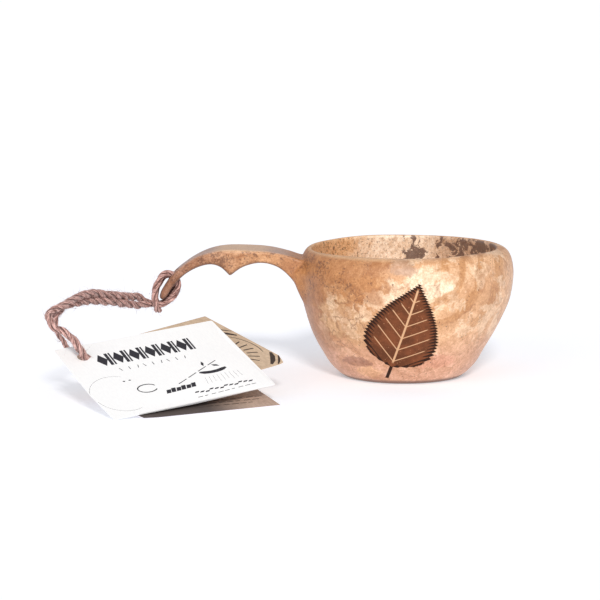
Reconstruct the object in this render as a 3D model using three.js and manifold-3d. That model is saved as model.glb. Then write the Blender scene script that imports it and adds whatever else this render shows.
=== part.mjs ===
// A carved wooden drinking cup (kuksa) with a doubled twine loop hitched through the eye of its handle
// and three paper tags strung on the far end of the loop.
// Millimetres, +Z up. The origin is the centre of the cup's flat base, and the handle points along -X.
import * as THREE from 'three';
import { mergeVertices } from 'three/addons/utils/BufferGeometryUtils.js';
import Module from 'manifold-3d';

const wasm = await Module();
wasm.setup();

// ---- Cup -------------------------------------------------------------------------------------
const CUP_HEIGHT = 62;
const BASE_RADIUS = 28.8;
const BELLY_RADIUS = 52.95;
const BELLY_HEIGHT = 51.5;
const LIP_CREST_RADIUS = 46.2;
const MOUTH_RADIUS = 44.2;
const FLOOR_THICKNESS = 7.5;
const BOWL_SEGMENTS = 80;

// ---- Handle ----------------------------------------------------------------------------------
const HANDLE_MAX_WIDTH = 26;
const EYE_RADIUS = 3.75;
const EYE_CENTRE = new THREE.Vector3(-108.5, 0, 46.9);
const EYE_TILT = THREE.MathUtils.degToRad(44);

// ---- Twine -----------------------------------------------------------------------------------
const TWINE_RADIUS = 1.6;
const HITCH_RADIUS = 1.3;
const TWINE_SIDES = 12;

// ---- Tags ------------------------------------------------------------------------------------
const TAG_HEIGHT = 58;
const TAG_THICKNESS = 0.4;
const TAG_HOLE_RADIUS = 2.8;
const TAG_CORNER_RADIUS = 0.6;

// Where each tag hangs: the hole's centre, the turn about +Z, the lift of the tag's right side, the lift
// of its top edge, and how far the hole is from the left edge and from the top edge.
const WHITE_TAG = {
  hole: [-147.2, -82.1, 22.6], heading: 32.4, rise: 4.7, tilt: 24.6, width: 85, fromLeft: 11.7, fromTop: 9.3,
};
const KRAFT_TAG = {
  hole: [-141, -77.7, 15.6], heading: 40.5, rise: 6.3, tilt: 15.3, width: 85, fromLeft: 5.8, fromTop: 20.4,
};
const LEAF_TAG = {
  hole: [-139.3, -76.5, 9.5], heading: 30.1, rise: -0.4, tilt: 10.3, width: 74, fromLeft: 7.8, fromTop: 9.3,
};

// A closed three.js geometry as a manifold solid.
function solidOf(geometry) {
  const bare = new THREE.BufferGeometry();
  bare.setAttribute('position', geometry.getAttribute('position'));
  if (geometry.index) bare.setIndex(geometry.index);
  const merged = mergeVertices(bare, 1e-4);
  const corners = merged.index.array;
  const triangles = [];
  for (let i = 0; i < corners.length; i += 3) {
    const [a, b, c] = corners.slice(i, i + 3);
    if (a !== b && b !== c && c !== a) triangles.push(a, b, c);
  }
  const mesh = new wasm.Mesh({
    numProp: 3,
    vertProperties: Float32Array.from(merged.getAttribute('position').array),
    triVerts: Uint32Array.from(triangles),
  });
  return new wasm.Manifold(mesh);
}

// A manifold solid as a named mesh with its own material.
function meshOf(name, solid, material) {
  const { vertProperties, triVerts } = solid.getMesh();
  const geometry = new THREE.BufferGeometry();
  geometry.setAttribute('position', new THREE.BufferAttribute(vertProperties, 3));
  geometry.setIndex(new THREE.BufferAttribute(triVerts, 1));
  geometry.computeVertexNormals();
  const mesh = new THREE.Mesh(geometry, material);
  mesh.name = name;
  return mesh;
}

function points2(pairs) {
  return pairs.map(([x, y]) => new THREE.Vector2(x, y));
}

function points3(triples) {
  return triples.map(([x, y, z]) => new THREE.Vector3(x, y, z));
}

// A flat outline in X and Z, extruded along Y and centred on Y = 0.
function sideExtrusion(shape, width, curveSegments) {
  const geometry = new THREE.ExtrudeGeometry(shape, { depth: width, bevelEnabled: false, curveSegments });
  geometry.rotateX(Math.PI / 2);
  geometry.translate(0, width / 2, 0);
  return solidOf(geometry);
}

// The bowl: a round wall that swells to a belly, turns over a thick rounded lip and drops to a dished floor.
function bowl() {
  const profile = new THREE.Path();
  profile.moveTo(0, 0);
  profile.lineTo(BASE_RADIUS, 0);
  profile.quadraticCurveTo(BASE_RADIUS + 1.3, 0.1, BASE_RADIUS + 2, 1.1);
  profile.splineThru(points2([
    [35.2, 6.3],
    [39.3, 14],
    [43.9, 21.8],
    [47.8, 29.6],
    [51, 37.3],
    [52.6, 45],
    [BELLY_RADIUS, BELLY_HEIGHT],
    [51.6, 57.8],
  ]));
  profile.quadraticCurveTo(50.2, CUP_HEIGHT, LIP_CREST_RADIUS, CUP_HEIGHT);
  profile.quadraticCurveTo(MOUTH_RADIUS, CUP_HEIGHT, MOUTH_RADIUS, CUP_HEIGHT - 2.2);
  profile.splineThru(points2([
    [45.2, 52],
    [45.2, 43],
    [42.8, 33],
    [36.8, 22],
    [26.5, 12.4],
    [13, 8.4],
    [0, FLOOR_THICKNESS],
  ]));
  const outline = profile.getPoints(2).filter((p, i, all) => i === 0 || p.distanceTo(all[i - 1]) > 1e-6);
  outline[outline.length - 1].x = 0;
  const geometry = new THREE.LatheGeometry(outline, BOWL_SEGMENTS);
  geometry.rotateX(Math.PI / 2);
  return solidOf(geometry);
}

// Everything to the right of the pared-down side where the handle leaves the bowl.
function handleSideTrim() {
  const shape = new THREE.Shape();
  shape.moveTo(60, -5);
  shape.lineTo(60, 70);
  shape.lineTo(-46.2, 70);
  shape.lineTo(-46.5, 61);
  shape.splineThru(points2([
    [-49.2, 54],
    [-50.2, 46],
    [-48.6, 38],
    [-45.8, 30],
    [-42.2, 21],
    [-38.6, 13],
    [-33, 4],
    [-30, -5],
  ]));
  return sideExtrusion(shape, 120, 3);
}

// The handle from the side: arched on top, with a thumb notch underneath that comes to a small cusp.
function handleSide() {
  const shape = new THREE.Shape();
  shape.moveTo(-43.5, 27);
  shape.lineTo(-43.5, 53);
  shape.lineTo(-48.6, 54);
  shape.splineThru(points2([
    [-54, 57.2],
    [-63, 60.7],
    [-74, 61.9],
    [-87, 61.3],
    [-96.7, 58.3],
    [-104, 53.7],
    [-109.8, 48.6],
    [-113.6, 43.4],
    [-116.4, 38.9],
  ]));
  shape.quadraticCurveTo(-117, 37, -115, 36.8);
  shape.splineThru(points2([
    [-113.3, 38],
    [-109, 44.3],
    [-101.7, 50.7],
    [-92, 54.6],
    [-87, 53.4],
    [-82.5, 49.5],
  ]));
  shape.splineThru(points2([
    [-76.3, 53.7],
    [-68, 55.6],
    [-60, 53.4],
    [-53.6, 48.6],
    [-49.4, 41.5],
    [-46, 32],
    [-43.5, 27],
  ]));
  return sideExtrusion(shape, HANDLE_MAX_WIDTH, 2);
}

// The handle from above: a waisted root, a broad thumb rest, and a narrow rounded tip around the eye.
function handlePlan() {
  const edge = points2([
    [-47, 11.4],
    [-54, 10.4],
    [-63, 11.4],
    [-74, 12.4],
    [-86, 11.7],
    [-93, 10.6],
    [-99, 7.8],
    [-105, 6.9],
    [-111, 6.9],
  ]);
  const farEdge = edge.map((p) => new THREE.Vector2(p.x, -p.y)).reverse();
  const shape = new THREE.Shape();
  shape.moveTo(-40, 13);
  shape.splineThru(edge);
  shape.bezierCurveTo(-119, 6.9, -119, -6.9, -111, -6.9);
  shape.splineThru(farEdge.slice(1));
  shape.lineTo(-40, -13);
  const geometry = new THREE.ExtrudeGeometry(shape, { depth: CUP_HEIGHT, bevelEnabled: false, curveSegments: 2 });
  geometry.translate(0, 0, 1);
  return solidOf(geometry);
}

// The eye drilled square to the sloping tip.
function eyeHole() {
  const geometry = new THREE.CylinderGeometry(EYE_RADIUS, EYE_RADIUS, 24, 32);
  geometry.rotateX(Math.PI / 2);
  geometry.rotateY(-EYE_TILT);
  geometry.translate(EYE_CENTRE.x, EYE_CENTRE.y, EYE_CENTRE.z);
  return solidOf(geometry);
}

function cupSolid() {
  const handle = handleSide().intersect(handlePlan()).subtract(eyeHole());
  return bowl().intersect(handleSideTrim()).add(handle);
}

// One length of twine along a smooth path, with a rounded end at each joint.
function twine(triples, radius, steps) {
  const path = new THREE.CatmullRomCurve3(points3(triples), false, 'centripetal');
  const circle = new THREE.Shape();
  circle.absarc(0, 0, radius, 0, Math.PI * 2);
  const tube = new THREE.ExtrudeGeometry(circle, { steps, extrudePath: path, curveSegments: TWINE_SIDES / 2 });
  let solid = solidOf(tube);
  for (const at of [path.getPoint(0), path.getPoint(1)]) {
    const end = new THREE.SphereGeometry(radius, TWINE_SIDES, TWINE_SIDES / 2);
    end.translate(at.x, at.y, at.z);
    solid = solid.add(solidOf(end));
  }
  return solid;
}

// The hitch: in under the tip, up through the eye, over the tip, down and around both legs, then back again.
function eyeLoop() {
  const near = [
    [-119.9, -1.55, 34.5],
    [-117.6, -1.55, 34.4],
    [-114.6, -1.5, 34.7],
    [-111.4, -1.5, 36.6],
    [-108.8, -1.5, 39.6],
    [-107.3, -1.5, 43],
    [-108.4, -1.5, 46.8],
    [-110.4, -1.55, 49],
    [-113, -1.6, 49.2],
    [-115.6, -1.8, 47.6],
    [-117.3, -2.3, 44.4],
    [-118.6, -3.1, 40.6],
    [-118.7, -4.1, 37.3],
    [-118, -4.55, 34.4],
    [-117.8, -3.3, 32],
  ];
  const far = near.map(([x, y, z]) => [x, -y, z]).reverse();
  return twine([...near, [-117.8, 0, 31.3], ...far], HITCH_RADIUS, 64);
}

function runUpper() {
  return twine([
    [-123.4, 1.8, 35.1],
    [-126.5, -0.8, 37.7],
    [-130.3, -9.5, 39.2],
    [-134.3, -19.3, 41],
    [-137.6, -26.3, 42.6],
  ], TWINE_RADIUS, 12);
}

function runLower() {
  return twine([
    [-123.4, -1.8, 34.2],
    [-126.5, -6.2, 34],
    [-130, -12.4, 35.5],
    [-134.3, -20, 37.2],
    [-137.6, -26.3, 38.8],
  ], TWINE_RADIUS, 12);
}

function reachUpper() {
  return twine([
    [-139.3, -29.4, 43],
    [-144.7, -40, 45.4],
    [-149.9, -51, 45.9],
    [-153.8, -61, 45],
    [-157.2, -69.6, 43.7],
    [-161.2, -76.4, 42.6],
    [-163, -80.8, 40.8],
    [-161.8, -83.1, 38],
  ], TWINE_RADIUS, 24);
}

function reachLower() {
  return twine([
    [-139.3, -29.4, 39.2],
    [-146.9, -42, 41.6],
    [-153, -54, 42],
    [-157, -61, 42],
    [-159, -66.4, 40.7],
    [-160.6, -70.6, 38.5],
  ], TWINE_RADIUS, 18);
}

// The end of the loop: down through the three tags, under the lowest, and up again behind them.
function tagLoop() {
  return twine([
    [-159.8, -84.9, 35.6],
    [-155.6, -86.6, 34.2],
    [-151.6, -87.4, 30.8],
    [-149, -86, 26.8],
    [-147.2, -82.1, 22.6],
    [-141.1, -77.9, 15.6],
    [-139.2, -76.6, 9.5],
    [-138.7, -74.6, 5.6],
    [-141.2, -71, 3.7],
    [-146.4, -67, 4.6],
    [-151.9, -62.8, 9.4],
    [-155.7, -60.9, 17],
    [-157.8, -61.5, 24.4],
    [-160, -66, 30],
    [-161, -71.2, 35.1],
  ], TWINE_RADIUS, 64);
}

// One paper tag lying in its own plane, hole centre at the origin, width along X and height along Y.
function tagSolid({ hole, heading, rise, tilt, width, fromLeft, fromTop }) {
  const shape = new THREE.Shape();
  const [left, right] = [-fromLeft, width - fromLeft];
  const [top, bottom] = [fromTop, fromTop - TAG_HEIGHT];
  const r = TAG_CORNER_RADIUS;
  shape.moveTo(left + r, bottom);
  shape.lineTo(right - r, bottom);
  shape.quadraticCurveTo(right, bottom, right, bottom + r);
  shape.lineTo(right, top - r);
  shape.quadraticCurveTo(right, top, right - r, top);
  shape.lineTo(left + r, top);
  shape.quadraticCurveTo(left, top, left, top - r);
  shape.lineTo(left, bottom + r);
  shape.quadraticCurveTo(left, bottom, left + r, bottom);
  const punched = new THREE.Path();
  punched.absarc(0, 0, TAG_HOLE_RADIUS, 0, Math.PI * 2, true);
  shape.holes.push(punched);
  const geometry = new THREE.ExtrudeGeometry(shape, {
    depth: TAG_THICKNESS, bevelEnabled: false, curveSegments: 12,
  });
  geometry.translate(0, 0, -TAG_THICKNESS / 2);
  geometry.rotateX(THREE.MathUtils.degToRad(tilt));
  geometry.rotateY(-THREE.MathUtils.degToRad(rise));
  geometry.rotateZ(THREE.MathUtils.degToRad(heading));
  geometry.translate(...hole);
  return solidOf(geometry);
}

function woodMaterial() {
  return new THREE.MeshStandardMaterial({ color: 0xc08a5c, roughness: 0.42, metalness: 0 });
}

function twineMaterial() {
  return new THREE.MeshStandardMaterial({ color: 0xb08070, roughness: 0.95, metalness: 0 });
}

function whiteCardMaterial() {
  return new THREE.MeshStandardMaterial({ color: 0xf4f3f1, roughness: 0.7, metalness: 0 });
}

function kraftCardMaterial() {
  return new THREE.MeshStandardMaterial({ color: 0xc2a684, roughness: 0.85, metalness: 0 });
}

const cup = new THREE.Group();
cup.name = 'kuksa_cup';
cup.add(meshOf('cup_body', cupSolid(), woodMaterial()));
cup.add(meshOf('cord_eye_loop', eyeLoop(), twineMaterial()));
cup.add(meshOf('cord_run_upper', runUpper(), twineMaterial()));
cup.add(meshOf('cord_run_lower', runLower(), twineMaterial()));
cup.add(meshOf('cord_reach_upper', reachUpper(), twineMaterial()));
cup.add(meshOf('cord_reach_lower', reachLower(), twineMaterial()));
cup.add(meshOf('cord_tag_loop', tagLoop(), twineMaterial()));
cup.add(meshOf('tag_white', tagSolid(WHITE_TAG), whiteCardMaterial()));
cup.add(meshOf('tag_kraft', tagSolid(KRAFT_TAG), kraftCardMaterial()));
cup.add(meshOf('tag_leaf', tagSolid(LEAF_TAG), kraftCardMaterial()));

export default cup;
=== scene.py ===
# A carved burl-wood drinking cup (kuksa) with a twisted twine loop hitched through its handle and
# three paper tags on the loop. Shapes are worked out in millimetres and stored in metres.
import math

import bpy
import numpy as np
import openvdb
from mathutils import Matrix, Vector
from mathutils.geometry import delaunay_2d_cdt


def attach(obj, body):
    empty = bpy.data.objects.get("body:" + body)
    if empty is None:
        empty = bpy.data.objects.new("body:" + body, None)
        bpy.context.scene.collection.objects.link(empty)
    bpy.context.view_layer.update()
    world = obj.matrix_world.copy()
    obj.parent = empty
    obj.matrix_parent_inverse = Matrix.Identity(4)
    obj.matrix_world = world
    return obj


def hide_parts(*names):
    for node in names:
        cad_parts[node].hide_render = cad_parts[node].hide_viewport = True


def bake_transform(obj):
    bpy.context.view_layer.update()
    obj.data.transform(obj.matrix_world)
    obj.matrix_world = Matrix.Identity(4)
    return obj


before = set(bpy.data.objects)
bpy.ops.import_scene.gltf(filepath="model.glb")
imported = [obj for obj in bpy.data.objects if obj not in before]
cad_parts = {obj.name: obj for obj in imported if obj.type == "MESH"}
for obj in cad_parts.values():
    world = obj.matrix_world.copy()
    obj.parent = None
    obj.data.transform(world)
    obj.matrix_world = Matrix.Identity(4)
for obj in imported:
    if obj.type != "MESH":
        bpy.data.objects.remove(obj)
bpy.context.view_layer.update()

MM = 0.001
RANDOM = np.random.default_rng(7)


# ---- Curves ----------------------------------

SAMPLES_BETWEEN_KNOTS = 24


def curve_through(points, step, closed=False):
    """Evenly spaced points on a centripetal Catmull-Rom curve through the given points."""
    points = np.asarray(points, float)
    count = len(points)
    if closed:
        knots = [points[(i - 1) % count] for i in range(count + 3)]
    else:
        knots = [2 * points[0] - points[1], *points, 2 * points[-1] - points[-2]]
    samples = []
    for p0, p1, p2, p3 in zip(knots, knots[1:], knots[2:], knots[3:]):
        t1 = math.sqrt(np.linalg.norm(p1 - p0))
        t2 = t1 + math.sqrt(np.linalg.norm(p2 - p1))
        t3 = t2 + math.sqrt(np.linalg.norm(p3 - p2))
        t = np.linspace(t1, t2, SAMPLES_BETWEEN_KNOTS, endpoint=False)[:, None]
        a1 = p0 + (p1 - p0) * t / t1
        a2 = p1 + (p2 - p1) * (t - t1) / (t2 - t1)
        a3 = p2 + (p3 - p2) * (t - t2) / (t3 - t2)
        b1 = a1 + (a2 - a1) * t / t2
        b2 = a2 + (a3 - a2) * (t - t1) / (t3 - t1)
        samples.extend(b1 + (b2 - b1) * (t - t1) / (t2 - t1))
    samples.append(points[0] if closed else points[-1])
    samples = np.array(samples)
    lengths = np.linalg.norm(np.diff(samples, axis=0), axis=1)
    along = np.concatenate([[0], np.cumsum(lengths)])
    even = np.linspace(0, along[-1], max(2, round(along[-1] / step) + 1))
    return np.stack([np.interp(even, along, samples[:, k]) for k in range(points.shape[1])], axis=1)


def smooth_step(low, high, value):
    """0 below low, 1 above high and a smooth rise between them."""
    t = np.clip((value - low) / (high - low), 0, 1)
    return t * t * (3 - 2 * t)


# ---- Cup shape -------------------------------

CUP_HEIGHT = 62
FOOT_RADIUS = 27
EYE_RADIUS = 3.75
EYE_CENTRE = (-108.5, 46.9)
EYE_TILT = math.radians(44)
EYE_EDGE_ROUNDING = 0.7
HANDLE_EDGE_ROUNDING = 1.5
HANDLE_ROOT = -32
HANDLE_ROOT_FILLETS = (1, 8)
ENGRAVED_DEPTH = 0.22
CARVING_DEPTHS = (0.16, 0.14)

# The grids that distances are worked out on: their cell sizes, and their lowest and highest corners.
CELL = 0.6
FIELD_LOW = np.array([-121.2, -56.4, -3.0])
FIELD_HIGH = np.array([57.0, 56.4, 66.0])
FLAT_CELL = 0.3
BOWL_GRID = ((-1, -4), (66, 68))
HANDLE_SIDE_GRID = ((-123, 10), (-25, 68))
HANDLE_PLAN_GRID = ((-123, -20), (-25, 20))
BOWL_STEP = 0.8
HANDLE_STEP = 0.5

# Bowl outlines close a little past the axis, and the hollow's well above the rim.
PAST_AXIS = -2
ABOVE_RIM = 80

# The bowl's outside and its hollow, as distance from the axis and height.
BOWL_OUTSIDE = [
    (28.4, 0.4), (30.3, 1.8), (35.1, 6.8), (39.3, 14), (43.9, 21.8), (47.8, 29.6),
    (51, 37.3), (52.6, 45), (52.95, 51.5), (51.6, 57.8), (49.6, 60.6), (46.6, 61.9), (42, 62),
]
BOWL_HOLLOW = [
    (44.2, 61), (45.2, 52), (45.2, 43), (42.8, 33), (36.8, 22), (26.5, 12.4), (13, 8.4), (-2, 7.5),
]
LIP_ROUNDING = 1.4

# How far out the bowl stands on the handle's side, by height, as a share of the other side's distance.
HANDLE_SIDE_HEIGHTS = [0, 8, 15, 20, 27, 34, 46, 54, 60, 66]
HANDLE_SIDE_SHARES = [1, 1, 1.01, 0.998, 0.972, 0.948, 0.932, 0.93, 0.928, 0.93]
HOLLOW_SIDE_SHARE = 0.985

# The handle seen from the side: along its top to the tip and back under it, then the thumb notch.
HANDLE_TOP = [
    (-36, 55), (-48.6, 57), (-54, 58.8), (-63, 60.8), (-74, 61.5), (-87, 61.3), (-96.7, 58.6),
    (-104, 54.3), (-109.8, 49.3), (-113.6, 43.9), (-116.5, 39.1), (-116.9, 37.3), (-115.9, 36.5),
    (-114.8, 36.7), (-113.3, 38), (-109, 44.3), (-101.7, 50.7), (-92, 54.6), (-87, 53.4), (-82.5, 49.3),
]
HANDLE_NOTCH = [
    (-82.5, 49.3), (-76.3, 53.5), (-68, 55.2), (-60, 53), (-53.4, 47.4), (-48.5, 40.6),
    (-43.4, 34.2), (-36, 29),
]
# Half of the handle seen from above.
HANDLE_HALF_PLAN = [
    (-30, 12.6), (-47, 11.4), (-54, 10.6), (-63, 11.4), (-74, 12.4), (-86, 11.7), (-93, 10.6),
    (-99, 7.8), (-105, 6.9), (-111, 6.9), (-115, 5.2), (-117, 0),
]


def distance_to_outline(outline, across, up):
    """Distance from each point to a closed outline, negative inside it."""
    nearest = np.full(across.shape, np.inf)
    inside = np.zeros(across.shape, bool)
    for (ax, ay), (bx, by) in zip(outline, np.roll(outline, -1, axis=0)):
        ex, ey = bx - ax, by - ay
        length = ex * ex + ey * ey
        if length < 1e-12:
            continue
        t = np.clip(((across - ax) * ex + (up - ay) * ey) / length, 0, 1)
        nearest = np.minimum(nearest, (across - ax - t * ex) ** 2 + (up - ay - t * ey) ** 2)
        if ey:
            crosses = (ay > up) != (by > up)
            inside ^= crosses & (across < ax + (up - ay) * ex / ey)
    return np.where(inside, -1, 1) * np.sqrt(nearest)


class FlatField:
    """An outline's signed distance on a flat grid, read back at any point."""

    def __init__(self, outline, low, high):
        self.low = low
        across = np.arange(low[0], high[0], FLAT_CELL)
        up = np.arange(low[1], high[1], FLAT_CELL)
        self.values = distance_to_outline(np.asarray(outline), *np.meshgrid(across, up, indexing="ij"))

    def at(self, across, up):
        a = np.clip((across - self.low[0]) / FLAT_CELL, 0, self.values.shape[0] - 1.001)
        b = np.clip((up - self.low[1]) / FLAT_CELL, 0, self.values.shape[1] - 1.001)
        i, j = a.astype(int), b.astype(int)
        a, b = a - i, b - j
        v = self.values
        return (
            v[i, j] * (1 - a) * (1 - b) + v[i + 1, j] * a * (1 - b)
            + v[i, j + 1] * (1 - a) * b + v[i + 1, j + 1] * a * b
        )


def rounded_overlap(a, b, radius):
    """What two solids share, with its new edge rounded."""
    u, v = np.maximum(radius + a, 0), np.maximum(radius + b, 0)
    return np.minimum(-radius, np.maximum(a, b)) + np.hypot(u, v)


def filleted_union(a, b, radius):
    """Two solids together, with the corner between them filled."""
    u, v = np.maximum(radius - a, 0), np.maximum(radius - b, 0)
    return np.maximum(radius, np.minimum(a, b)) - np.hypot(u, v)


def bowl_outside(x, y, z):
    """The bowl as a solid, without its hollow."""
    under = [(PAST_AXIS, 0), (FOOT_RADIUS, 0)]
    outline = np.concatenate([under, curve_through(BOWL_OUTSIDE, BOWL_STEP), [(PAST_AXIS, CUP_HEIGHT)]])
    share = np.interp(z, HANDLE_SIDE_HEIGHTS, HANDLE_SIDE_SHARES)
    return FlatField(outline, *BOWL_GRID).at(np.hypot(np.where(x < 0, x / share, x), y), z)


def bowl_hollow(x, y, z):
    """The space inside the bowl, open at the top."""
    above = [(PAST_AXIS, ABOVE_RIM), (BOWL_HOLLOW[0][0], ABOVE_RIM)]
    outline = np.concatenate([curve_through(BOWL_HOLLOW, BOWL_STEP), above])
    from_axis = np.hypot(np.where(x < 0, x / HOLLOW_SIDE_SHARE, x), y)
    return FlatField(outline, *BOWL_GRID).at(from_axis, z)


def handle_field(x, y, z):
    """The handle: what its side and top outlines share. The bowl's hollow cuts its inner end off."""
    side = np.concatenate([curve_through(HANDLE_TOP, HANDLE_STEP), curve_through(HANDLE_NOTCH, HANDLE_STEP)])
    half = curve_through(HANDLE_HALF_PLAN, HANDLE_STEP)
    plan = np.concatenate([half, (half * (1, -1))[::-1]])
    from_side = FlatField(side, *HANDLE_SIDE_GRID).at(x, z)
    from_above = FlatField(plan, *HANDLE_PLAN_GRID).at(x, y)
    solid = rounded_overlap(from_side, from_above, HANDLE_EDGE_ROUNDING)
    return np.where(x > HANDLE_ROOT, np.maximum(solid, x - HANDLE_ROOT), solid)


def eye_field(x, y, z):
    """The drilled eye: a round hole square to the sloping tip."""
    across = (x - EYE_CENTRE[0]) * math.cos(EYE_TILT) + (z - EYE_CENTRE[1]) * math.sin(EYE_TILT)
    return np.hypot(across, y) - EYE_RADIUS


def hand_carving(x, y, z):
    """The slight unevenness a knife leaves on the outside of the cup."""
    return (
        CARVING_DEPTHS[0] * np.sin(x / 9.1 + 1.3) * np.sin(z / 7.3 + 0.4)
        + CARVING_DEPTHS[1] * np.sin(y / 8.3 + x / 15.7) * np.sin(z / 10.9 + 2.1)
    )


# ---- Engraved leaf ---------------------------

LEAF_FOOT = (-6.5, 9.5)
LEAF_LENGTH = 44
LEAF_HALF_WIDTH = 17.5
LEAF_LEAN = math.radians(17)
# Half the leaf's width as a share of its widest, by how far along the leaf.
LEAF_OUTLINE = [
    (0, 0), (0.03, 0.3), (0.1, 0.7), (0.22, 0.95), (0.34, 1),
    (0.5, 0.9), (0.68, 0.66), (0.84, 0.34), (0.94, 0.12), (1, 0),
]
TOOTH_PITCH = 1.75
VEIN_PITCH = 6.2
STALK_LENGTH = 6.5
STALK_HALF_WIDTH = 0.8


def inside_leaf(x, z):
    """How far inside the engraved leaf each point of the cup's front is, in millimetres."""
    right, up = x - LEAF_FOOT[0], z - LEAF_FOOT[1]
    along = right * math.sin(LEAF_LEAN) + up * math.cos(LEAF_LEAN)
    across = np.abs(right * math.cos(LEAF_LEAN) - up * math.sin(LEAF_LEAN))
    width = LEAF_HALF_WIDTH * np.interp(along / LEAF_LENGTH, *zip(*LEAF_OUTLINE))
    return width - across


def cup_field():
    """The cup's distance from every point of the grid."""
    axes = [np.arange(low, high, CELL) for low, high in zip(FIELD_LOW, FIELD_HIGH)]
    x, y, z = np.meshgrid(*axes, indexing="ij")
    at_middle, at_sides = HANDLE_ROOT_FILLETS
    beside_handle = smooth_step(6, 13, np.abs(y)) * smooth_step(56, 50, z) * smooth_step(26, 46, z)
    fillet = at_middle + (at_sides - at_middle) * beside_handle
    cup = filleted_union(bowl_outside(x, y, z), handle_field(x, y, z), fillet)
    cup = cup + hand_carving(x, y, z) * smooth_step(1, 6, z)
    cup = cup + ENGRAVED_DEPTH * smooth_step(0, 1.2, inside_leaf(x, z)) * (y < 0)
    cup = rounded_overlap(cup, -bowl_hollow(x, y, z), LIP_ROUNDING)
    cup = rounded_overlap(cup, -eye_field(x, y, z), EYE_EDGE_ROUNDING)
    return np.maximum(cup, -z)


def cup_mesh():
    """The cup's surface as a mesh, with how much of each point belongs to the hollow stored on it."""
    grid = openvdb.FloatGrid(4.0)
    grid.copyFromArray(cup_field().astype(np.float32))
    points, quads = grid.convertToQuads(isovalue=0.0)
    points = np.asarray(points, float) * CELL + FIELD_LOW
    quads = np.asarray(quads, int)
    corners = points[quads]
    normals = np.cross(corners[:, 2] - corners[:, 0], corners[:, 3] - corners[:, 1])
    if (normals * corners.mean(axis=1)).sum() < 0:
        quads = quads[:, ::-1]
    mesh = new_mesh("cup_wood", points, quads.tolist())
    add_floats(mesh, "hollow", smooth_step(1.2, 0.2, bowl_hollow(*points.T)))
    return mesh


# ---- Meshes ----------------------------------

def new_mesh(name, points, faces, smooth=True):
    mesh = bpy.data.meshes.new(name)
    mesh.from_pydata((np.asarray(points) * MM).tolist(), [], faces)
    mesh.validate()
    mesh.polygons.foreach_set("use_smooth", [smooth] * len(mesh.polygons))
    mesh.update()
    return mesh


def new_object(mesh, *materials):
    made = bpy.data.objects.new(mesh.name, mesh)
    bpy.context.scene.collection.objects.link(made)
    for material in materials:
        mesh.materials.append(material)
    return made


def add_floats(mesh, name, values):
    attribute = mesh.attributes.new(name, "FLOAT", "POINT")
    attribute.data.foreach_set("value", np.asarray(values, np.float32))


def add_vectors(mesh, name, values):
    attribute = mesh.attributes.new(name, "FLOAT_VECTOR", "POINT")
    attribute.data.foreach_set("vector", np.asarray(values, np.float32).ravel())


# ---- Twine -----------------------------------

HITCH_RADIUS = 1.5
TWINE_RADIUS = 1.95
FAR_BEND_THINNER = 0.25
BY_TAGS_THINNER = 0.25
BEHIND_TAGS_THINNER = 0.5
FOOT_LUMP = 0.95
FOOT_LUMP_REACH = 2.6
TWINE_STEP = 0.36
TWIST_PITCH = 23
PLIES = 3
PLY_SIDES = 14
PLY_RADIUS_SHARE = 0.56
PLY_OFFSET_SHARE = 0.47
PLY_RIDGES = 6
PLY_OWN_TWIST = 1.7
PLY_LUMPINESS = 0.07
RIDGE_DEPTH = 0.07
RIDGE_NOISE = 0.015
HAIRS_PER_MM = 5.5
HAIR_RADIUS = 0.055
HAIR_POINTS = 5
HAIR_SIDES = 3
NO_HAIRS_ROUND_EYE = 6
NO_HAIRS_TOWARD_TIP = 14

# The twine's middle line: half of the hitch round the tip of the handle, the two legs that run from it,
# and the turn through the tags.
HALF_HITCH = [
    (-119.9, -1.6, 34.3), (-117.6, -1.6, 34.1), (-114.6, -1.55, 34.4), (-111.4, -1.5, 36.3),
    (-108.8, -1.5, 39.6), (-107.3, -1.5, 43), (-108.4, -1.5, 46.8), (-110.4, -1.55, 49),
    (-113, -1.6, 49.2), (-115.6, -1.8, 47.6), (-117.3, -2.3, 44.4), (-118.6, -3.1, 40.6),
    (-118.7, -4.1, 37.3), (-118, -4.55, 34.4), (-117.8, -3.3, 32),
]
HITCH_BOTTOM = (-117.2, 0, 31.6)
HITCH_MIDDLE = (-113.2, 41.5)
FAR_HITCH_DRAWN_IN = [0, 0, 0.05, 0.24, 0.3, 0.24, 0.08, 0.14, 0.2, 0.2, 0.16, 0.08, 0, 0, 0]
UPPER_RUN = [
    (-123.4, 1.8, 35), (-126.5, -0.8, 37.4), (-130.3, -9.5, 38.9), (-134.3, -19.3, 40.7),
    (-137.6, -26.3, 42.2),
]
LOWER_RUN = [
    (-123.4, -1.8, 34.2), (-126.5, -6.2, 34.3), (-130, -12.4, 35.8), (-134.3, -20, 37.5),
    (-137.6, -26.3, 39.1),
]
UPPER_REACH = [
    (-139.3, -29.4, 42.6), (-144.7, -40, 45), (-149.9, -51, 45.5), (-153.8, -61, 44.7),
    (-157.2, -69.6, 43.5), (-161.2, -76.4, 42.3), (-163, -80.8, 40.6), (-161.8, -83.1, 38),
]
LOWER_REACH = [
    (-139.3, -29.4, 39.5), (-146.9, -42, 41.8), (-153, -54, 42.2), (-157, -61, 42), (-159, -66.4, 40.7),
    (-160.6, -70.6, 38.5),
]
TAG_LOOP = [
    (-159.8, -84.9, 35.6), (-155.6, -86.6, 34.2), (-151.6, -87.4, 30.8), (-149, -86, 26.8),
    (-147.2, -82.1, 22.6), (-141.1, -77.9, 15.6), (-139.2, -76.6, 9.5), (-138.7, -74.6, 5.6),
    (-140.6, -70, 3.9), (-143.8, -65.4, 5), (-148.6, -60.6, 9.4), (-153.4, -59.2, 17),
    (-157.2, -61, 24.4), (-160, -66, 30), (-161, -71.2, 35.1),
]


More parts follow.
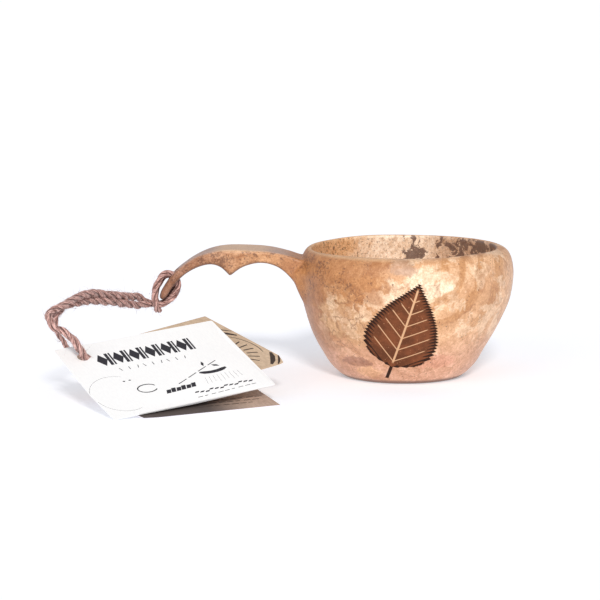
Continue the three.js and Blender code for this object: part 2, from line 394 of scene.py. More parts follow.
def hitch_points():
    """The near half of the hitch, and the far half, which is drawn a little tighter round the tip."""
    far = []
    for (x, y, z), share in zip(HALF_HITCH, FAR_HITCH_DRAWN_IN):
        far.append((x + share * (HITCH_MIDDLE[0] - x), -y, z + share * (HITCH_MIDDLE[1] - z)))
    return HALF_HITCH + [HITCH_BOTTOM] + far[::-1]


def twine_path():
    """The whole closed loop of twine, evenly spaced, and where the cuts between its pieces fall."""
    around = hitch_points() + UPPER_RUN + UPPER_REACH + TAG_LOOP + LOWER_REACH[::-1] + LOWER_RUN[::-1]
    path = curve_through(around, TWINE_STEP, closed=True)
    middles = [UPPER_RUN[2], UPPER_REACH[2], LOWER_REACH[2], LOWER_RUN[2]]
    cuts = [int(np.argmin(np.linalg.norm(path - middle, axis=1))) for middle in middles]
    return path[:-1], cuts


def carried_frames(path):
    """Two directions square to the closed path at every point, turned so that the end meets the start."""
    tangents = np.roll(path, -1, axis=0) - np.roll(path, 1, axis=0)
    tangents /= np.linalg.norm(tangents, axis=1)[:, None]
    side = np.cross(tangents[0], (0, 0, 1))
    sides = []
    for tangent in [*tangents, tangents[0]]:
        side = side - tangent * (side @ tangent)
        side = side / np.linalg.norm(side)
        sides.append(side)
    first, last = sides[0], sides.pop()
    gap = math.atan2(np.cross(last, first) @ tangents[0], last @ first)
    return tangents, np.array(sides), gap


def twist_angles(path, gap):
    """The angle of the first ply at each point, with a whole number of turns round the loop."""
    total = len(path) * TWINE_STEP
    turns = round(total / TWIST_PITCH)
    return np.linspace(0, turns * 2 * math.pi + gap, len(path), endpoint=False)


def twine_radii(path):
    """Thinner in the hitch, at the far bend and by the tags, with a lump at the foot of the hitch."""
    x, y, z = path.T
    radii = HITCH_RADIUS + (TWINE_RADIUS - HITCH_RADIUS) * smooth_step(-119, -125, x)
    radii = radii - FAR_BEND_THINNER * smooth_step(-146, -156, x)
    radii = radii - BY_TAGS_THINNER * smooth_step(24, 14, z)
    radii = radii - BEHIND_TAGS_THINNER * smooth_step(-78, -70, y) * smooth_step(37, 31, z)
    from_foot = np.linalg.norm(path - HITCH_BOTTOM, axis=1)
    return radii + FOOT_LUMP * np.exp(-((from_foot / FOOT_LUMP_REACH) ** 2))


def tube_faces(rings, sides, first):
    """Quads joining each ring of points to the next."""
    quads = []
    for ring in range(rings - 1):
        low = first + ring * sides
        for k in range(sides):
            n = (k + 1) % sides
            quads.append((low + k, low + n, low + sides + n, low + sides + k))
    return quads


class TwineBuilder:
    """Collects the plies and loose fibres of one piece of twine."""

    def __init__(self, path, tangents, sides, angles, radii):
        self.path, self.tangents, self.angles, self.radii = path, tangents, angles, radii
        self.sides = sides
        self.ups = np.cross(tangents, sides)
        self.points, self.faces, self.grooves, self.fibres = [], [], [], []
        self.count = 0

    def ply(self, span, number):
        turn = self.angles[span] + number * 2 * math.pi / PLIES
        radius = self.radii[span]
        side, up = self.sides[span], self.ups[span]
        lumps = 1 + PLY_LUMPINESS * np.sin(span * 0.23 + number * 2.1) * np.sin(span * 0.061 + number)
        ply_radius = radius * PLY_RADIUS_SHARE * lumps
        centre = self.path[span] + PLY_OFFSET_SHARE * radius[:, None] * (
            np.cos(turn)[:, None] * side + np.sin(turn)[:, None] * up
        )
        around = np.linspace(0, 2 * math.pi, PLY_SIDES, endpoint=False)
        ridges = 1 + RIDGE_DEPTH * np.cos(PLY_RIDGES * around[None, :] - PLY_OWN_TWIST * turn[:, None])
        ridges = ridges + RANDOM.normal(0, RIDGE_NOISE, ridges.shape)
        reach = ply_radius[:, None] * ridges
        ring = (
            centre[:, None, :]
            + (reach * np.cos(around))[:, :, None] * side[:, None, :]
            + (reach * np.sin(around))[:, :, None] * up[:, None, :]
        )
        depth = np.linalg.norm(ring - self.path[span][:, None, :], axis=2) / radius[:, None]
        spin = around[None, :] - PLY_OWN_TWIST * turn[:, None]
        fibre = np.stack([
            np.broadcast_to(span[:, None] * TWINE_STEP * 0.35 + number * 31, spin.shape),
            np.cos(spin) * 2.2, np.sin(spin) * 2.2,
        ], axis=2)
        self.add(ring, depth, fibre, PLY_SIDES)

    def add(self, rings, depth, fibre, sides):
        self.faces += tube_faces(len(rings), sides, self.count)
        self.points.append(rings.reshape(-1, 3))
        self.grooves.append(depth.ravel())
        self.fibres.append(fibre.reshape(-1, 3))
        self.count += rings.shape[0] * sides

    def loose_fibre(self, place):
        """One thin hair that leaves the twine at a low angle and bends. Hairs in the eye, and those
        that point at the tip of the handle, are left out."""
        turn = RANDOM.uniform(0, 2 * math.pi)
        out = math.cos(turn) * self.sides[place] + math.sin(turn) * self.ups[place]
        forward = self.tangents[place] * RANDOM.choice([-1, 1])
        over = np.cross(out, forward)
        length = RANDOM.gamma(2.2, 0.75) + 0.6
        lift = RANDOM.uniform(0.1, 0.9)
        curl = RANDOM.normal(0, 0.5)
        t = np.linspace(0, 1, HAIR_POINTS)[:, None]
        start = self.path[place] + out * self.radii[place] * 0.85
        line = start + length * (
            forward * t * math.cos(lift) + out * math.sin(lift) * (t - 0.35 * t * t) + over * curl * t * t
        )
        around = np.linspace(0, 2 * math.pi, HAIR_SIDES, endpoint=False)
        width = (HAIR_RADIUS * (1 - 0.65 * t))[:, :, None]
        ring = line[:, None, :] + width * (
            np.cos(around)[None, :, None] * out + np.sin(around)[None, :, None] * over
        )
        from_eye = np.linalg.norm(self.path[place] - (EYE_CENTRE[0], 0, EYE_CENTRE[1]))
        inward = np.array((HITCH_MIDDLE[0], 0, HITCH_MIDDLE[1])) - self.path[place]
        clear_of_tip = np.linalg.norm(inward) > NO_HAIRS_TOWARD_TIP or out @ inward < 0
        if from_eye > NO_HAIRS_ROUND_EYE and clear_of_tip:
            self.add(ring, np.full(ring.shape[:2], 1.05), np.broadcast_to(start, ring.shape), HAIR_SIDES)

    def strand(self, span):
        for number in range(PLIES):
            self.ply(span, number)
        for place in RANDOM.choice(span, int(len(span) * TWINE_STEP * HAIRS_PER_MM)):
            self.loose_fibre(place)


def twine_piece(name, twine, spans, material):
    builder = TwineBuilder(*twine)
    for span in spans:
        builder.strand(span)
    mesh = new_mesh(name, np.concatenate(builder.points), builder.faces)
    add_floats(mesh, "ridge", np.concatenate(builder.grooves))
    add_vectors(mesh, "fibre", np.concatenate(builder.fibres))
    return new_object(mesh, material)


def bend_at(piece):
    """Bakes the piece's placing into its points."""
    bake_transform(piece)


def make_twine(material):
    path, (upper_run, upper_reach, lower_reach, lower_run) = twine_path()
    tangents, sides, gap = carried_frames(path)
    twine = (path, tangents, sides, twist_angles(path, gap), twine_radii(path))
    count = len(path)

    def span(start, end):
        return np.arange(start, end + 1 if end > start else end + 1 + count) % count

    legs = [span(upper_run, upper_reach), span(lower_reach, lower_run)]
    hitch = twine_piece("twine_hitch", twine, [span(lower_run, upper_run)], material)
    run = twine_piece("twine_run", twine, legs, material)
    loop = twine_piece("twine_tag_loop", twine, [span(upper_reach, lower_reach)], material)
    bend_at(hitch)
    bend_at(run)
    bend_at(loop)
    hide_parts("cord_eye_loop")
    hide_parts("cord_run_upper", "cord_run_lower")
    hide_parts("cord_reach_upper", "cord_reach_lower", "cord_tag_loop")


# ---- Tags ------------------------------------

TAG_HEIGHT = 58
TAG_THICKNESS = 0.4
TAG_HOLE_RADIUS = 2.8
CORNER_RADIUS = 0.6
SHEET_GRID = 2.4
FRONT_EDGE_ROWS = np.array([0.5, 1.0, 1.6])
SAME_POINT = 1e-4
LINE = 0.32
PLAIN_FACE, INKED_FACE, UNDER_FACE = range(3)

# Where each tag's punched hole is, how the tag lies there in degrees, its width, and how far the hole
# is from its left and top edges.
WHITE_TAG = {
    "hole": (-147.2, -82.1, 22.6), "heading": 32.4, "rise": 4.7, "tilt": 24.6,
    "width": 83.6, "from_left": 10.3, "from_top": 9.3,
}
KRAFT_TAG = {
    "hole": (-141, -77.7, 15.6), "heading": 40.5, "rise": 6.3, "tilt": 15.3,
    "width": 85, "from_left": 5.8, "from_top": 20.4,
}
LEAF_TAG = {
    "hole": (-139.3, -76.5, 9.5), "heading": 30.1, "rise": -0.4, "tilt": 10.3,
    "width": 71.4, "from_left": 5.2, "from_top": 9.3, "front_corner": 9,
}


def tag_placing(tag):
    """The matrix that takes a flat sheet, its hole at the origin, to its place."""
    turns = ("X", tag["tilt"]), ("Y", -tag["rise"]), ("Z", tag["heading"])
    placing = Matrix.Identity(4)
    for axis, degrees in turns:
        placing = Matrix.Rotation(math.radians(degrees), 4, axis) @ placing
    return np.array(Matrix.Translation(tag["hole"]) @ placing)


def circle(centre, radius, count):
    angles = np.linspace(0, 2 * math.pi, count, endpoint=False)
    return [(centre[0] + radius * math.cos(a), centre[1] + radius * math.sin(a)) for a in angles]


def stroke(points, width=LINE):
    """A drawn line as a thin closed outline, tapering a little at its ends."""
    points = np.asarray(points, float)
    ahead = np.gradient(points, axis=0)
    ahead /= np.linalg.norm(ahead, axis=1)[:, None]
    square = np.stack([-ahead[:, 1], ahead[:, 0]], axis=1)
    taper = np.full(len(points), width / 2)
    taper[[0, -1]] *= 0.5
    offset = square * taper[:, None]
    return [tuple(p) for p in np.concatenate([points + offset, (points - offset)[::-1]])]


def arc(centre, radius, start, end, width=LINE, squash=1.0):
    x, y = centre
    angles = np.radians(np.linspace(start, end, max(4, int(abs(end - start) / 7))))
    return stroke([(x + radius * math.cos(a), y + squash * radius * math.sin(a)) for a in angles], width)


def bar(left, bottom, width, height, lean=0.0):
    right, top = left + width, bottom + height
    return [(left, bottom), (right, bottom), (right + lean, top), (left + lean, top)]


def diamond(x, y, half_width, half_height):
    return [(x - half_width, y), (x, y - half_height), (x + half_width, y), (x, y + half_height)]


def dashes(left, y, count, pitch, length, height):
    """A row of short marks of uneven length."""
    lengths = [length * (0.55 + 0.45 * abs(math.sin(2.3 * k + 1))) for k in range(count)]
    return [bar(left + k * pitch, y, lengths[k], height) for k in range(count)]


def ornament_row(left, y):
    """A folk border: diamonds between pairs of leaning bars."""
    shapes = []
    for k in range(6):
        x = left + k * 8.3
        shapes.append(diamond(x + 2.6, y + 4.7, 2.7, 4.7))
        shapes.append(bar(x + 4.9, y, 1.6, 9.4, 0.5))
        shapes.append(bar(x + 7, y, 0.9, 9.4, 0.5))
    return shapes


def leafy_stick(foot, tip):
    """A bare stick with a leaf each side near its end."""
    foot, tip = np.array(foot, float), np.array(tip, float)
    ahead = (tip - foot) / np.linalg.norm(tip - foot)
    square = np.array((-ahead[1], ahead[0]))
    shapes = []
    for k in range(4):
        start = foot + (tip - foot) * (0.02 + 0.25 * k)
        shapes.append(stroke([start, start + (tip - foot) * 0.2], 0.9))
    for share, way in ((0.7, 1), (0.82, -1)):
        root = foot + (tip - foot) * share + square * way * 0.7
        end = root + ahead * 2.2 + square * way * 3.4
        middle = (root + end) / 2
        shapes.append([tuple(root), tuple(middle - ahead), tuple(end), tuple(middle + ahead)])
    return shapes


def plain_bowl(x, y):
    """A bowl standing in grass: a dark rim that sags in the middle, and thin hatching below."""
    rim = [(x + k, y + 0.028 * (k - 7) ** 2) for k in range(0, 15, 2)]
    shapes = [stroke(rim, 2.1)]
    for k in range(9):
        top, foot = (x + 0.6 + 2.1 * k, y - 2.6), (x - 0.6 + 2.3 * k, y - 8.2 + 0.5 * (k % 3))
        shapes.append(stroke([top, foot], 0.22))
    return shapes


def white_print():
    """A border, a line of small ticks, a thin leaf outline, a ring, a log, a stick and a bowl in grass."""
    shapes = ornament_row(4.6, -9.8)
    shapes += [bar(12 + 4.1 * k, -15.4, 0.4, 2.2, 0.7 * (k % 3 - 1)) for k in range(9)]
    shapes.append(arc((2, -32), 14, 60, 165, 0.13))
    shapes.append(arc((2, -32), 13, 190, 290, 0.13))
    shapes += [diamond(8.4 + 3 * k, -23.4, 0.8, 0.5) for k in range(2)]
    shapes.append(arc((16, -31.6), 4.8, 20, 330, 0.6, 0.62))
    shapes += [bar(22.5 + 2.7 * k, -38.2 + 0.2 * k, 2.3, 2.6 + 0.5 * (k % 2), 1.1) for k in range(6)]
    shapes += leafy_stick((31, -33.2), (58, -21.2))
    shapes += plain_bowl(45, -29.5)
    shapes += [bar(35 + 2.5 * k, -41.6 - 0.5 * (k % 3), 2, 0.9, 0.9) for k in range(12)]
    shapes += dashes(35, -44.9, 9, 3.5, 2.8, 0.35)
    return shapes


def kraft_print():
    """Growth rings and short radial marks, as on the end of a log."""
    centre = (58, -17)
    shapes = [
        arc(centre, 24.5, -22, -53, 2.4),
        arc(centre, 24.5, 32, 66, 2.2),
        arc(centre, 27.4, -30, -50, 1.1),
        arc(centre, 28, 40, 70, 1.1),
        arc(centre, 21.2, -20, 48, 0.5),
    ]
    for degrees in range(-48, 75, 14):
        a = math.radians(degrees)
        inner = (centre[0] + 13 * math.cos(a), centre[1] + 13 * math.sin(a))
        outer = (centre[0] + 18.5 * math.cos(a), centre[1] + 18.5 * math.sin(a))
        shapes.append(stroke([inner, outer], 1.7))
    return shapes


def leaf_print():
    """Lines of small marks along the lower edge."""
    shapes = []
    for row, left, count in ((-35.6, 30, 8), (-38.8, 27, 8), (-42, 32, 6)):
        shapes += dashes(left, row, count, 4.3, 3.8, 0.65)
    return shapes


def points_inside(shape, points):
    return distance_to_outline(np.asarray(shape), points[:, 0], points[:, 1]) < 0


def rounded_sheet(left, right, bottom, top, front_corner):
    """The sheet's outline. Its front left corner may be rounder than the others."""
    outline = []
    for x, y, start in ((right, top, 0), (left, top, 90), (left, bottom, 180), (right, bottom, 270)):
        radius = front_corner if (x, y) == (left, bottom) else CORNER_RADIUS
        centre_x = x - math.copysign(radius, x - (left + right) / 2)
        centre_y = y - math.copysign(radius, y - (top + bottom) / 2)
        for degrees in range(0, 91, 15):
            a = math.radians(start + degrees)
            outline.append((centre_x + radius * math.cos(a), centre_y + radius * math.sin(a)))
    return outline


def sheet_points(left, right, bottom, top):
    """Points inside the sheet, so that it can bend: a grid, with closer rows along the front edge."""
    across = np.arange(left + SHEET_GRID, right - 1, SHEET_GRID)
    up = np.concatenate([bottom + FRONT_EDGE_ROWS, np.arange(bottom + SHEET_GRID, top - 1, SHEET_GRID)])
    grid = np.stack(np.meshgrid(across, up), axis=-1).reshape(-1, 2)
    return grid[np.hypot(grid[:, 0], grid[:, 1]) > TAG_HOLE_RADIUS + 0.8]


def divided_sheet(loops, inner_points):
    """Flat points and triangles that fill the sheet round its hole, with every loop kept as edges."""
    points, edges = [], []
    for loop in loops:
        first = len(points)
        points += loop
        edges += [(first + k, first + (k + 1) % len(loop)) for k in range(len(loop))]
    points += [tuple(p) for p in inner_points]
    flat, _, triangles, *_ = delaunay_2d_cdt([Vector(p) for p in points], edges, [], 0, SAME_POINT)
    flat = np.array([tuple(p) for p in flat])
    triangles = np.array([list(t) for t in triangles])
    middle = flat[triangles].mean(axis=1)
    triangles = triangles[np.hypot(middle[:, 0], middle[:, 1]) > TAG_HOLE_RADIUS * 0.99]
    a, b, c = (flat[triangles[:, k]] for k in range(3))
    turned = (b[:, 0] - a[:, 0]) * (c[:, 1] - a[:, 1]) - (b[:, 1] - a[:, 1]) * (c[:, 0] - a[:, 0]) < 0
    triangles[turned] = triangles[turned][:, ::-1]
    return flat, triangles


def edge_walls(triangles, count):
    """Quads that close the sheet's cut edges. The point under each top point comes count places later."""
    cut_edges = set()
    for triangle in triangles.tolist():
        for k in range(3):
            edge = (triangle[k], triangle[(k + 1) % 3])
            if edge[::-1] in cut_edges:
                cut_edges.remove(edge[::-1])
            else:
                cut_edges.add(edge)
    return [(j, i, i + count, j + count) for i, j in sorted(cut_edges)]


def tag_sheet(name, tag, printed, bend, materials):
    """A punched paper tag. The print is part of the sheet: its outlines divide the top face."""
    left, right = -tag["from_left"], tag["width"] - tag["from_left"]
    top, bottom = tag["from_top"], tag["from_top"] - TAG_HEIGHT
    outline = rounded_sheet(left, right, bottom, top, tag.get("front_corner", CORNER_RADIUS))
    loops = [outline, circle((0, 0), TAG_HOLE_RADIUS, 32), *printed]
    flat, triangles = divided_sheet(loops, sheet_points(left, right, bottom, top))
    middle = flat[triangles].mean(axis=1)
    inked = np.zeros(len(triangles), bool)
    for shape in printed:
        inked |= points_inside(shape, middle)

    lift = bend(flat[:, 0], flat[:, 1])
    upper = np.column_stack([flat, lift + TAG_THICKNESS / 2])
    lower = np.column_stack([flat, lift - TAG_THICKNESS / 2])
    under = (triangles[:, ::-1] + len(flat)).tolist()
    faces = triangles.tolist() + under + edge_walls(triangles, len(flat))
    placing = tag_placing(tag)
    local = np.concatenate([upper, lower])
    mesh = new_mesh(name, local @ placing[:3, :3].T + placing[:3, 3], faces, smooth=False)
    add_vectors(mesh, "on_sheet", local)
    made = new_object(mesh, *materials)
    kinds = np.full(len(mesh.polygons), UNDER_FACE, np.int32)
    kinds[: len(triangles)] = np.where(inked, INKED_FACE, PLAIN_FACE)
    mesh.polygons.foreach_set("material_index", kinds)
    return made


def white_bend(x, y):
    """Lies a little below its hole, lifts at the front right corner and sags between the front corners."""
    sag = 0.6 * np.exp(-(((x - 30) / 18) ** 2)) * smooth_step(-36, -50, y)
    return -1.0 - 0.3 * smooth_step(-30, 9, y) + 1.3 * smooth_step(30, 74, x) * smooth_step(0, -48, y) - sag


def kraft_bend(x, y):
    """A slight wave along the sheet."""
    return -0.1 - 0.3 * np.cos(x / 22)


def leaf_bend(x, y):
    """A gentle wave along the sheet, with the front left corner drooping a little."""
    flat_corner = 0.6 * smooth_step(30, 4, x) * smooth_step(-28, -46, y)
    return -0.4 * np.sin(x / 26) - flat_corner


# ---- Materials -------------------------------

def tone(red, green, blue):
    """A colour given as on screen, 0 to 255, as the linear values that materials use."""
    channels = [c / 255 for c in (red, green, blue)]
    return tuple(c / 12.92 if c <= 0.04045 else ((c + 0.055) / 1.055) ** 2.4 for c in channels) + (1,)


class Paint:
    """Builds one material's nodes. Each method adds a node and returns the output it is known by."""

    def __init__(self, name):
        self.material = bpy.data.materials.new(name)
        self.material.use_nodes = True
        self.tree = self.material.node_tree
        self.surface = self.tree.nodes["Principled BSDF"]

    def put(self, socket, value):
        if isinstance(value, bpy.types.NodeSocket):
            self.tree.links.new(value, socket)
        else:
            socket.default_value = value

    def node(self, kind, output=0, inputs=None, **settings):
        made = self.tree.nodes.new(kind)
        for key, value in settings.items():
            setattr(made, key, value)
        for key, value in (inputs or {}).items():
            self.put(made.inputs[key], value)
        return made.outputs[output]

    def place(self):
        """The point being painted, in millimetres."""
        return self.vector("SCALE", self.node("ShaderNodeTexCoord", "Object"), scale=1 / MM)

    def vector(self, operation, a, b=None, scale=None):
        inputs = {0: a}
        if b is not None:
            inputs[1] = b
        if scale is not None:
            inputs["Scale"] = scale
        return self.node("ShaderNodeVectorMath", inputs=inputs, operation=operation)

    def math(self, operation, a, b=0.0):
        return self.node("ShaderNodeMath", inputs={0: a, 1: b}, operation=operation)

    def times(self, a, b):
        return self.math("MULTIPLY", a, b)

    def plus(self, a, b):
        return self.math("ADD", a, b)

    def minus(self, a, b):
        return self.math("SUBTRACT", a, b)

    def from_half(self, value, pitch=1.0):
        """How far a value, counted in pitches, is from the middle of its pitch: 0 there, 0.5 at the ends."""
        return self.math("ABSOLUTE", self.minus(self.math("FRACT", self.math("DIVIDE", value, pitch)), 0.5))

    def parts(self, at):
        made = self.tree.nodes.new("ShaderNodeSeparateXYZ")
        self.put(made.inputs[0], at)
        return made.outputs

    def attribute(self, name, output="Fac"):
        return self.node("ShaderNodeAttribute", output, attribute_name=name)

    def noise(self, at, size, detail=3.0, rough=0.55, swirl=0.0, output=0):
        """Soft noise with lumps about as many millimetres across as size."""
        inputs = {"Vector": at, "Scale": 1 / size, "Detail": detail, "Roughness": rough, "Distortion": swirl}
        return self.node("ShaderNodeTexNoise", output, inputs)

    def cells(self, at, size, output="Distance", feature="F1"):
        inputs = {"Vector": at, "Scale": 1 / size}
        return self.node("ShaderNodeTexVoronoi", output, inputs, feature=feature)

    def rise(self, value, low, high):
        """0 below low, 1 above high, with a smooth rise between them; low may be the larger."""
        inputs = {0: value, 1: low, 2: high, 3: 0.0, 4: 1.0}
        return self.node("ShaderNodeMapRange", 0, inputs, interpolation_type="SMOOTHSTEP")

    def mix(self, share, a, b):
        made = self.tree.nodes.new("ShaderNodeMix")
        made.data_type = "RGBA"
        self.put(made.inputs[0], share)
        self.put(made.inputs[6], a)
        self.put(made.inputs[7], b)
        return made.outputs[2]

    def tint(self, colour, tinge, share, strength):
        """The colour with some of another over it: as much as the share says, times the strength."""
        return self.mix(self.times(share, strength), colour, tinge)

    def shade(self, colour, noise, strength):
        """Darker and redder where the noise is low, paler where it is high, the same on average."""
        swing = self.node("ShaderNodeMapRange", 0, {0: noise, 1: 0.34, 2: 0.66, 3: -1.0, 4: 1.0})
        amounts = self.vector("SCALE", (0.7, 1.0, 1.3), scale=self.times(swing, strength))
        return self.vector("MULTIPLY", colour, self.vector("ADD", amounts, (1, 1, 1)))

    def bump(self, height, distance_mm, strength):
        inputs = {"Height": height, "Distance": distance_mm * MM, "Strength": strength}
        self.put(self.surface.inputs["Normal"], self.node("ShaderNodeBump", 0, inputs))

    def finish(self, **values):
        for key, value in values.items():
            self.put(self.surface.inputs[key.replace("_", " ")], value)
        return self.material


PEACH = tone(228, 178, 134)
OCHRE = tone(188, 128, 78)
CREAM = tone(248, 220, 188)
UMBER = tone(106, 68, 48)
SAND = tone(222, 176, 136)
PLATE = tone(216, 170, 126)
PLATE_EDGE = tone(142, 96, 60)
SWEEP_CENTRE = (9, 62)
SWEEP_PITCH = 9.5

# Patches of burl on the bowl, the cream one right of the leaf's top partly a painted highlight: centre,
# reach each way, colour and strength.
BURL_PATCHES = [
    ((-50, -16, 46), (12, 30, 16), tone(172, 114, 72), 0.7),
    ((-44, -26, 26), (9, 30, 14), tone(196, 140, 104), 0.6),
    # Partly a painted highlight: paler wood, brightened further where the key light falls strongest on the
    # bowl's front.
    ((12, -48, 50), (15, 22, 8), CREAM, 0.75),
    ((27, -40, 54), (12, 20, 5), SAND, 0.7),
    ((36, -38, 44), (9, 20, 9), OCHRE, 0.45),
    ((-7, -48, 47), (6, 20, 6), CREAM, 0.6),
    ((-2, -48, 58), (6, 20, 4), tone(186, 144, 114), 0.9),
    ((-26, -42, 56), (17, 24, 7), tone(182, 124, 78), 0.85),
    ((-31.5, -38, 33), (10.6, 20, 10), PLATE_EDGE, 0.5),
    ((-31, -38, 33), (10, 20, 9.5), PLATE, 0.9),
    ((-32, -40, 44.6), (8.2, 20, 4.9), PLATE_EDGE, 0.75),
    ((-32, -40, 45), (7.5, 20, 4.2), PLATE, 0.95),
    ((-19, -45, 47), (11, 20, 7), OCHRE, 0.8),
    ((-40, -30, 50), (14, 26, 9), OCHRE, 0.75),
    ((-22, -42, 27), (7, 18, 8), PLATE, 0.7),
    ((-23, -34, 11.5), (8, 16, 2.6), tone(158, 108, 84), 0.8),
    ((-17, -40, 6), (7, 20, 3), PEACH, 0.7),
    ((12, -40, 12), (12, 18, 4), tone(214, 150, 122), 0.6),
]


def blotch(paint, at, centre, reach, wobble):
    """1 inside a wobbly-edged ellipsoid, 0 outside."""
    from_centre = paint.vector("DIVIDE", paint.vector("SUBTRACT", at, centre), reach)
    far = paint.node("ShaderNodeVectorMath", "Value", {0: from_centre}, operation="LENGTH")
    return paint.rise(paint.plus(far, wobble), 1.15, 0.85)


def leaf_half_width(paint, share):
    """Half the engraved leaf's width at a share of its length."""
    shape = paint.tree.nodes.new("ShaderNodeFloatCurve")
    points = shape.mapping.curves[0].points
    for place, height in LEAF_OUTLINE[1:-1]:
        points.new(place, height)
    points[0].location = LEAF_OUTLINE[0]
    points[-1].location = LEAF_OUTLINE[-1]
    shape.mapping.update()
    paint.put(shape.inputs["Value"], paint.math("MINIMUM", paint.math("MAXIMUM", share, 0.0), 1.0))
    return paint.times(shape.outputs[0], LEAF_HALF_WIDTH)


def leaf_engraving(paint, at, wood, hollow):
    """A burnt-in leaf with a dark serrated rim and pale veins. Returns the colour and the leaf's mask."""
    x, y, z = paint.parts(at)
    right = paint.minus(x, LEAF_FOOT[0])
    up = paint.minus(z, LEAF_FOOT[1])
    sine, cosine = math.sin(LEAF_LEAN), math.cos(LEAF_LEAN)
    along = paint.plus(paint.times(right, sine), paint.times(up, cosine))
    across = paint.math("ABSOLUTE", paint.minus(paint.times(right, cosine), paint.times(up, sine)))
    share = paint.math("DIVIDE", along, LEAF_LENGTH)

    slant = paint.minus(along, paint.times(across, 0.75))
    teeth = paint.math("FRACT", paint.math("DIVIDE", slant, TOOTH_PITCH))
    rim = paint.minus(leaf_half_width(paint, share), across)
    rim = paint.plus(rim, paint.times(paint.noise(at, 1.1, 2), 0.7))
    serrated = paint.minus(rim, paint.times(teeth, 1.5))
    in_length = paint.times(paint.rise(share, -0.01, 0.01), paint.rise(share, 1.01, 0.99))
    blade = paint.times(paint.rise(serrated, -0.15, 0.15), in_length)
    fringe_depth = paint.plus(1.2, paint.times(teeth, 2.2))
    fringe = paint.rise(paint.minus(fringe_depth, serrated), -0.3, 0.3)

    side_vein = paint.rise(paint.from_half(slant, VEIN_PITCH), 0.055, 0.03)
    side_vein = paint.times(side_vein, paint.rise(serrated, 3.6, 5.0))
    midrib = paint.rise(across, 0.6, 0.35)
    in_blade = paint.times(paint.rise(share, 0.04, 0.07), paint.rise(share, 0.93, 0.9))
    veins = paint.times(paint.math("MAXIMUM", side_vein, midrib), in_blade)

    stalk = paint.times(paint.rise(along, -STALK_LENGTH, -STALK_LENGTH + 0.3), paint.rise(along, 1.0, 0.5))
    stalk = paint.times(paint.rise(across, STALK_HALF_WIDTH + 0.15, STALK_HALF_WIDTH - 0.15), stalk)

    scorch = paint.rise(paint.noise(at, 7, 4, 0.65), 0.35, 0.65)
    burnt = paint.mix(scorch, tone(98, 56, 34), tone(126, 72, 44))
    burnt = paint.mix(paint.rise(paint.noise(at, 0.7, 2), 0.64, 0.74), burnt, tone(176, 120, 84))
    burnt = paint.mix(fringe, burnt, tone(50, 28, 18))
    burnt = paint.tint(burnt, tone(226, 180, 138), veins, 0.85)
    in_front = paint.times(paint.rise(y, -20, -24), paint.minus(1.0, hollow))
    mask = paint.times(paint.math("MAXIMUM", blade, stalk), in_front)
    return paint.mix(mask, wood, burnt), mask


def burl_patches(paint, at, warped, curl):
    """The large areas: ochre by the handle, peach on the other side, rose low down, then the patches."""
    x, _, z = paint.parts(at)
    to_right = paint.rise(paint.plus(x, paint.times(paint.noise(warped, 20, 2), 44)), -16, 36)
    colour = paint.mix(to_right, OCHRE, PEACH)
    low_down = paint.rise(paint.plus(z, paint.times(curl, 18)), 40, 16)
    colour = paint.tint(colour, tone(216, 166, 140), low_down, 0.75)
    wobble = paint.times(paint.minus(curl, 0.5), 1.7)
    for centre, reach, tinge, strength in BURL_PATCHES:
        colour = paint.tint(colour, tinge, blotch(paint, at, centre, reach, wobble), strength)
    return colour


def burl_sweep(paint, at, colour):
    """Bands of darker growth that sweep round the pale patch under the rim, away from the handle."""
    x, _, z = paint.parts(at)
    right = paint.minus(x, SWEEP_CENTRE[0])
    up = paint.times(paint.minus(z, SWEEP_CENTRE[1]), 0.8)
    out = paint.math("SQRT", paint.plus(paint.times(right, right), paint.times(up, up)))
    out = paint.plus(out, paint.times(paint.noise(at, 18, 3, 0.5), 13))
    along_bands = paint.node("ShaderNodeCombineXYZ", 0, {0: out, 1: paint.times(x, 0.22)})
    streaks = paint.noise(along_bands, 2.0, 4, 0.65)
    wave = paint.rise(paint.from_half(out, SWEEP_PITCH), 0.36, 0.08)
    band = paint.plus(wave, paint.times(paint.minus(streaks, 0.5), 1.8))
    where = paint.times(paint.rise(x, 5, 16), paint.rise(z, 22, 36))
    share = paint.times(paint.rise(band, 0.25, 1.0), where)
    colour = paint.tint(colour, tone(194, 136, 84), share, 0.78)
    return paint.tint(colour, tone(152, 98, 60), paint.times(paint.rise(streaks, 0.58, 0.68), where), 0.5)


def burl_figure(paint, at, warped, colour):
    """Plates with darker edges, sweeping bands and fine mottling."""
    x, _, z = paint.parts(at)
    colour = paint.shade(colour, paint.parts(paint.cells(warped, 8, "Color"))[0], 0.07)
    plate_gap = paint.cells(warped, 8, "Distance", "DISTANCE_TO_EDGE")
    patchy = paint.rise(paint.noise(at, 14, 2), 0.46, 0.58)
    edges = paint.times(paint.rise(plate_gap, 0.07, 0.0), patchy)
    colour = paint.tint(colour, tone(150, 94, 58), edges, 0.4)
    colour = burl_sweep(paint, at, colour)
    pale = paint.rise(paint.noise(warped, 12, 5, 0.6), 0.53, 0.56)
    brown = paint.rise(paint.noise(paint.vector("ADD", warped, (40, 0, 0)), 12, 5, 0.66), 0.54, 0.6)
    upper_left = paint.times(paint.rise(x, -2, -24), paint.rise(z, 40, 50))
    pale = paint.times(paint.minus(pale, upper_left), paint.rise(x, -46, -34))
    pale = paint.times(paint.math("MAXIMUM", pale, 0.0), paint.rise(z, 10, 30))
    colour = paint.tint(colour, CREAM, pale, 0.38)
    colour = paint.tint(colour, tone(180, 122, 80), brown, 0.4)
    colour = paint.shade(colour, paint.noise(warped, 8, 4, 0.6), 0.14)
    return paint.shade(colour, paint.noise(at, 2.6, 5, 0.7), 0.2)


def burl_specks(paint, at, crowd):
    """Small dark bark marks of uneven size, thick where the crowd value is high."""
    limit = paint.minus(0.76, paint.times(crowd, 0.19))
    return paint.rise(paint.minus(paint.noise(at, 1.15, 3, 0.6), limit), 0.0, 0.035)


